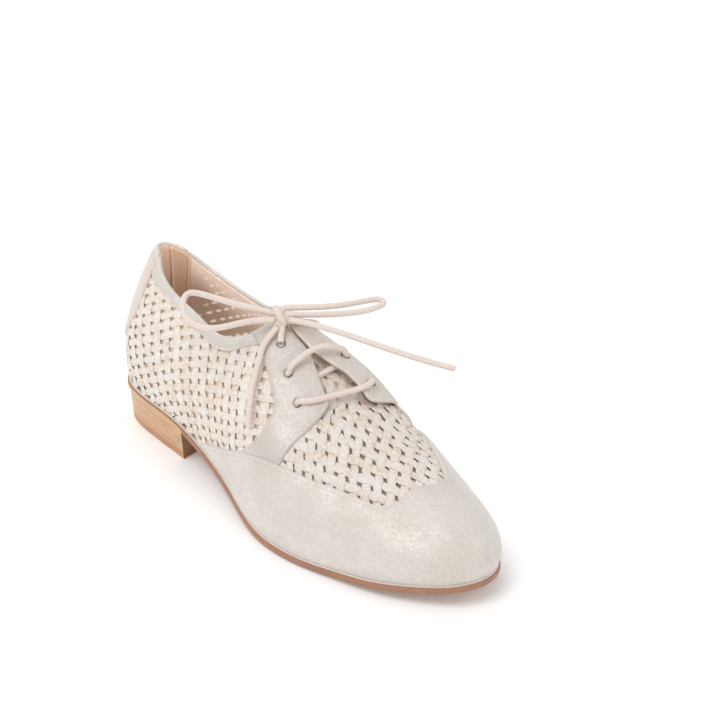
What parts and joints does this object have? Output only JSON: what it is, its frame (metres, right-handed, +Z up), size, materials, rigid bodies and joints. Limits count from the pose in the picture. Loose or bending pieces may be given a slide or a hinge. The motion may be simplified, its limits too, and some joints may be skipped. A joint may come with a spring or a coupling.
{
  "type": "woven blucher shoe",
  "caption": "Low-heeled open-laced blucher for the right foot: woven vamp and quarters under a scalloped suede wing cap, facings and collar, on a thin sole with a stacked heel.",
  "frame": {"origin": "middle of the shoe's bounding box without the free lace, on the floor under the sole", "axes": "+X to the toe, +Y to the inner (medial) side of the right foot, +Z up"},
  "size_m": [0.2674, 0.0938, 0.0949],
  "materials": {
    "weave": "fibrous woven ribbon, cream to peach, dry and matt",
    "suede": "shimmering pale greige suede",
    "strap_suede": "shimmering suede, a little pinker",
    "sole_leather": "smooth brown sole leather with a burnished edge",
    "stacked_heel": "stacked leather layers, satin tan",
    "insole_leather": "smooth tan lining leather",
    "lace_cotton": "waxed pale pink round lace"
  },
  "bodies": {
    "root": {"outsole": "sole_leather", "insole": "insole_leather", "heel": "stacked_heel", "upper": "weave", "toe_cap": "suede", "facing_lateral": "suede", "facing_medial": "suede", "collar_lateral": "suede", "collar_medial": "suede", "back_strap": "strap_suede", "tongue": "suede", "lace_bar_lower": "lace_cotton", "lace_bar_middle": "lace_cotton", "lace_bar_top": "lace_cotton", "lace_knot": "lace_cotton", "lace_loop_left": "lace_cotton", "lace_loop_right": "lace_cotton", "lace_end_left": "lace_cotton", "lace_end_right": "lace_cotton"}
  },
  "joints": []
}
